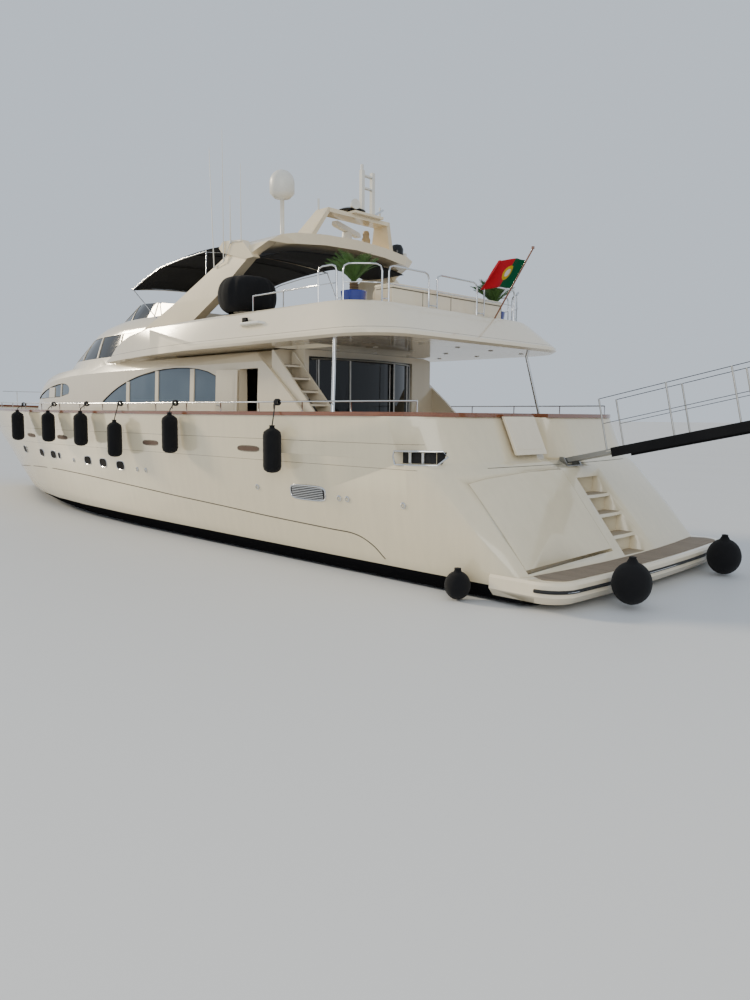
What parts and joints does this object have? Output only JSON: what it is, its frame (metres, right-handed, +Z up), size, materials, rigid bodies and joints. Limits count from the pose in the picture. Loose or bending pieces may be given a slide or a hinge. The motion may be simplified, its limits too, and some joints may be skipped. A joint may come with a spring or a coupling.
{
  "type": "motor yacht",
  "caption": "Long cream flybridge motor yacht with raked transom, bathing platform, radar arch, canvas sun top and twin screws, afloat with fenders out.",
  "frame": {"origin": "on the waterline, on the centreline, 0.17 m aft of the bathing platform's edge", "axes": "+X forward to the bow, +Y to port, +Z up"},
  "size_m": [30.6509, 7.056, 10.4181],
  "materials": {
    "hull": "gloss ivory gelcoat above a black boot-top and underbody",
    "platform": "gloss ivory gelcoat",
    "teak": "weathered teak planking with dark caulking",
    "varnish": "glossy reddish-brown varnished wood",
    "rail": "polished stainless tube",
    "house": "gloss cream gelcoat",
    "glazing": "tinted blue-grey glass",
    "dark_glazing": "very dark tinted glass",
    "door": "gloss cream",
    "stair": "cream moulding with teak treads",
    "flybridge": "gloss cream gelcoat",
    "arch": "gloss cream gelcoat",
    "canvas": "black acrylic canvas",
    "white_fitting": "white moulded fitting",
    "passerelle_metal": "grey aluminium, with a black cover over the board",
    "fender_sock": "black knitted fender sock",
    "running_gear": "stainless shaft with bronze brackets",
    "bronze": "cast bronze",
    "flag_cloth": "woven flag cloth in green and red",
    "pot": "cobalt blue glaze, with a palm",
    "locker": "cream vinyl"
  },
  "bodies": {
    "yacht": {"hull": "hull", "bathing_platform": "platform", "platform_teak": "teak", "cap_rail": "varnish", "guard_rail_port": "rail", "guard_rail_starboard": "rail", "deckhouse": "house", "saloon_glass_port": "glazing", "saloon_glass_starboard": "glazing", "forward_glass_port": "glazing", "forward_glass_starboard": "glazing", "windscreen": "dark_glazing", "saloon_aft_glass": "dark_glazing", "stair": "stair", "flybridge": "flybridge", "fly_windscreen": "dark_glazing", "radar_arch": "arch", "bimini_cover": "canvas", "bimini_frame": "rail", "mast_arch": "arch", "light_mast": "white_fitting", "radar_pedestal": "white_fitting", "satellite_dome": "white_fitting", "whip_antennas": "white_fitting", "overhang_post_port": "rail", "overhang_post_starboard": "rail", "passerelle_foot": "passerelle_metal", "fender_1": "fender_sock", "fender_2": "fender_sock", "fender_3": "fender_sock", "fender_4": "fender_sock", "fender_5": "fender_sock", "fender_6": "fender_sock", "ball_fender_quarter": "fender_sock", "ball_fender_aft_1": "fender_sock", "ball_fender_aft_2": "fender_sock", "shaft_port": "running_gear", "shaft_starboard": "running_gear", "ensign_staff": "varnish", "flag": "flag_cloth", "covered_locker": "canvas", "palm_port": "pot", "palm_starboard": "pot", "fly_lockers": "locker", "fly_rail": "rail"},
    "port_propeller": {"propeller_port": "bronze"},
    "starboard_propeller": {"propeller_starboard": "bronze"},
    "port_rudder": {"rudder_port": "bronze"},
    "starboard_rudder": {"rudder_starboard": "bronze"},
    "radar_bar": {"radar_scanner": "white_fitting"},
    "port_door": {"side_door_port": "door"},
    "starboard_door": {"side_door_starboard": "door"},
    "sliding_door": {"saloon_door": "dark_glazing"},
    "gate": {"transom_gate": "door"},
    "hatch": {"transom_hatch": "hull"},
    "gangway": {"passerelle": "passerelle_metal"}
  },
  "joints": [
    {"name": "port_propeller_spin", "type": "hinge", "parent": "yacht", "child": "port_propeller", "pos_m": [2.65, 1.35, -1.18], "axis": [0.9908, 0, 0.1354], "continuous": true},
    {"name": "starboard_propeller_spin", "type": "hinge", "parent": "yacht", "child": "starboard_propeller", "pos_m": [2.65, -1.35, -1.18], "axis": [0.9908, 0, 0.1354], "continuous": true},
    {"name": "port_rudder_turn", "type": "hinge", "parent": "yacht", "child": "port_rudder", "pos_m": [1.75, 1.35, -0.4], "axis": [0, 0, 1], "range_deg": [-35, 35]},
    {"name": "starboard_rudder_turn", "type": "hinge", "parent": "yacht", "child": "starboard_rudder", "pos_m": [1.75, -1.35, -0.4], "axis": [0, 0, 1], "range_deg": [-35, 35]},
    {"name": "radar_spin", "type": "hinge", "parent": "yacht", "child": "radar_bar", "pos_m": [7.95, -0.15, 6.83], "axis": [0, 0, 1], "continuous": true},
    {"name": "port_door_swing", "type": "hinge", "parent": "yacht", "child": "port_door", "pos_m": [8.56, 2.456, 1.96], "axis": [0, -0.0407, 0.9992], "range_deg": [0, 165]},
    {"name": "starboard_door_swing", "type": "hinge", "parent": "yacht", "child": "starboard_door", "pos_m": [8.56, -2.456, 1.96], "axis": [0, 0.0407, 0.9992], "range_deg": [0, 165]},
    {"name": "saloon_door_slide", "type": "hinge", "parent": "yacht", "child": "sliding_door", "pos_m": [10.1, 0, 1.95], "axis": [0, 0, 1], "range_deg": [0, 16]},
    {"name": "gate_swing", "type": "hinge", "parent": "yacht", "child": "gate", "pos_m": [2.215, 0.51, 2.11], "axis": [0.4138, 0, 0.9104], "range_deg": [0, 172]},
    {"name": "hatch_lift", "type": "hinge", "parent": "yacht", "child": "hatch", "pos_m": [1.87067, 0, 1.88292], "axis": [0, 1, 0], "range_deg": [0, 70]},
    {"name": "passerelle_lift", "type": "hinge", "parent": "yacht", "child": "gangway", "pos_m": [2.12, -0.125, 1.985], "axis": [0, 1, 0], "range_deg": [-12, 55]}
  ]
}
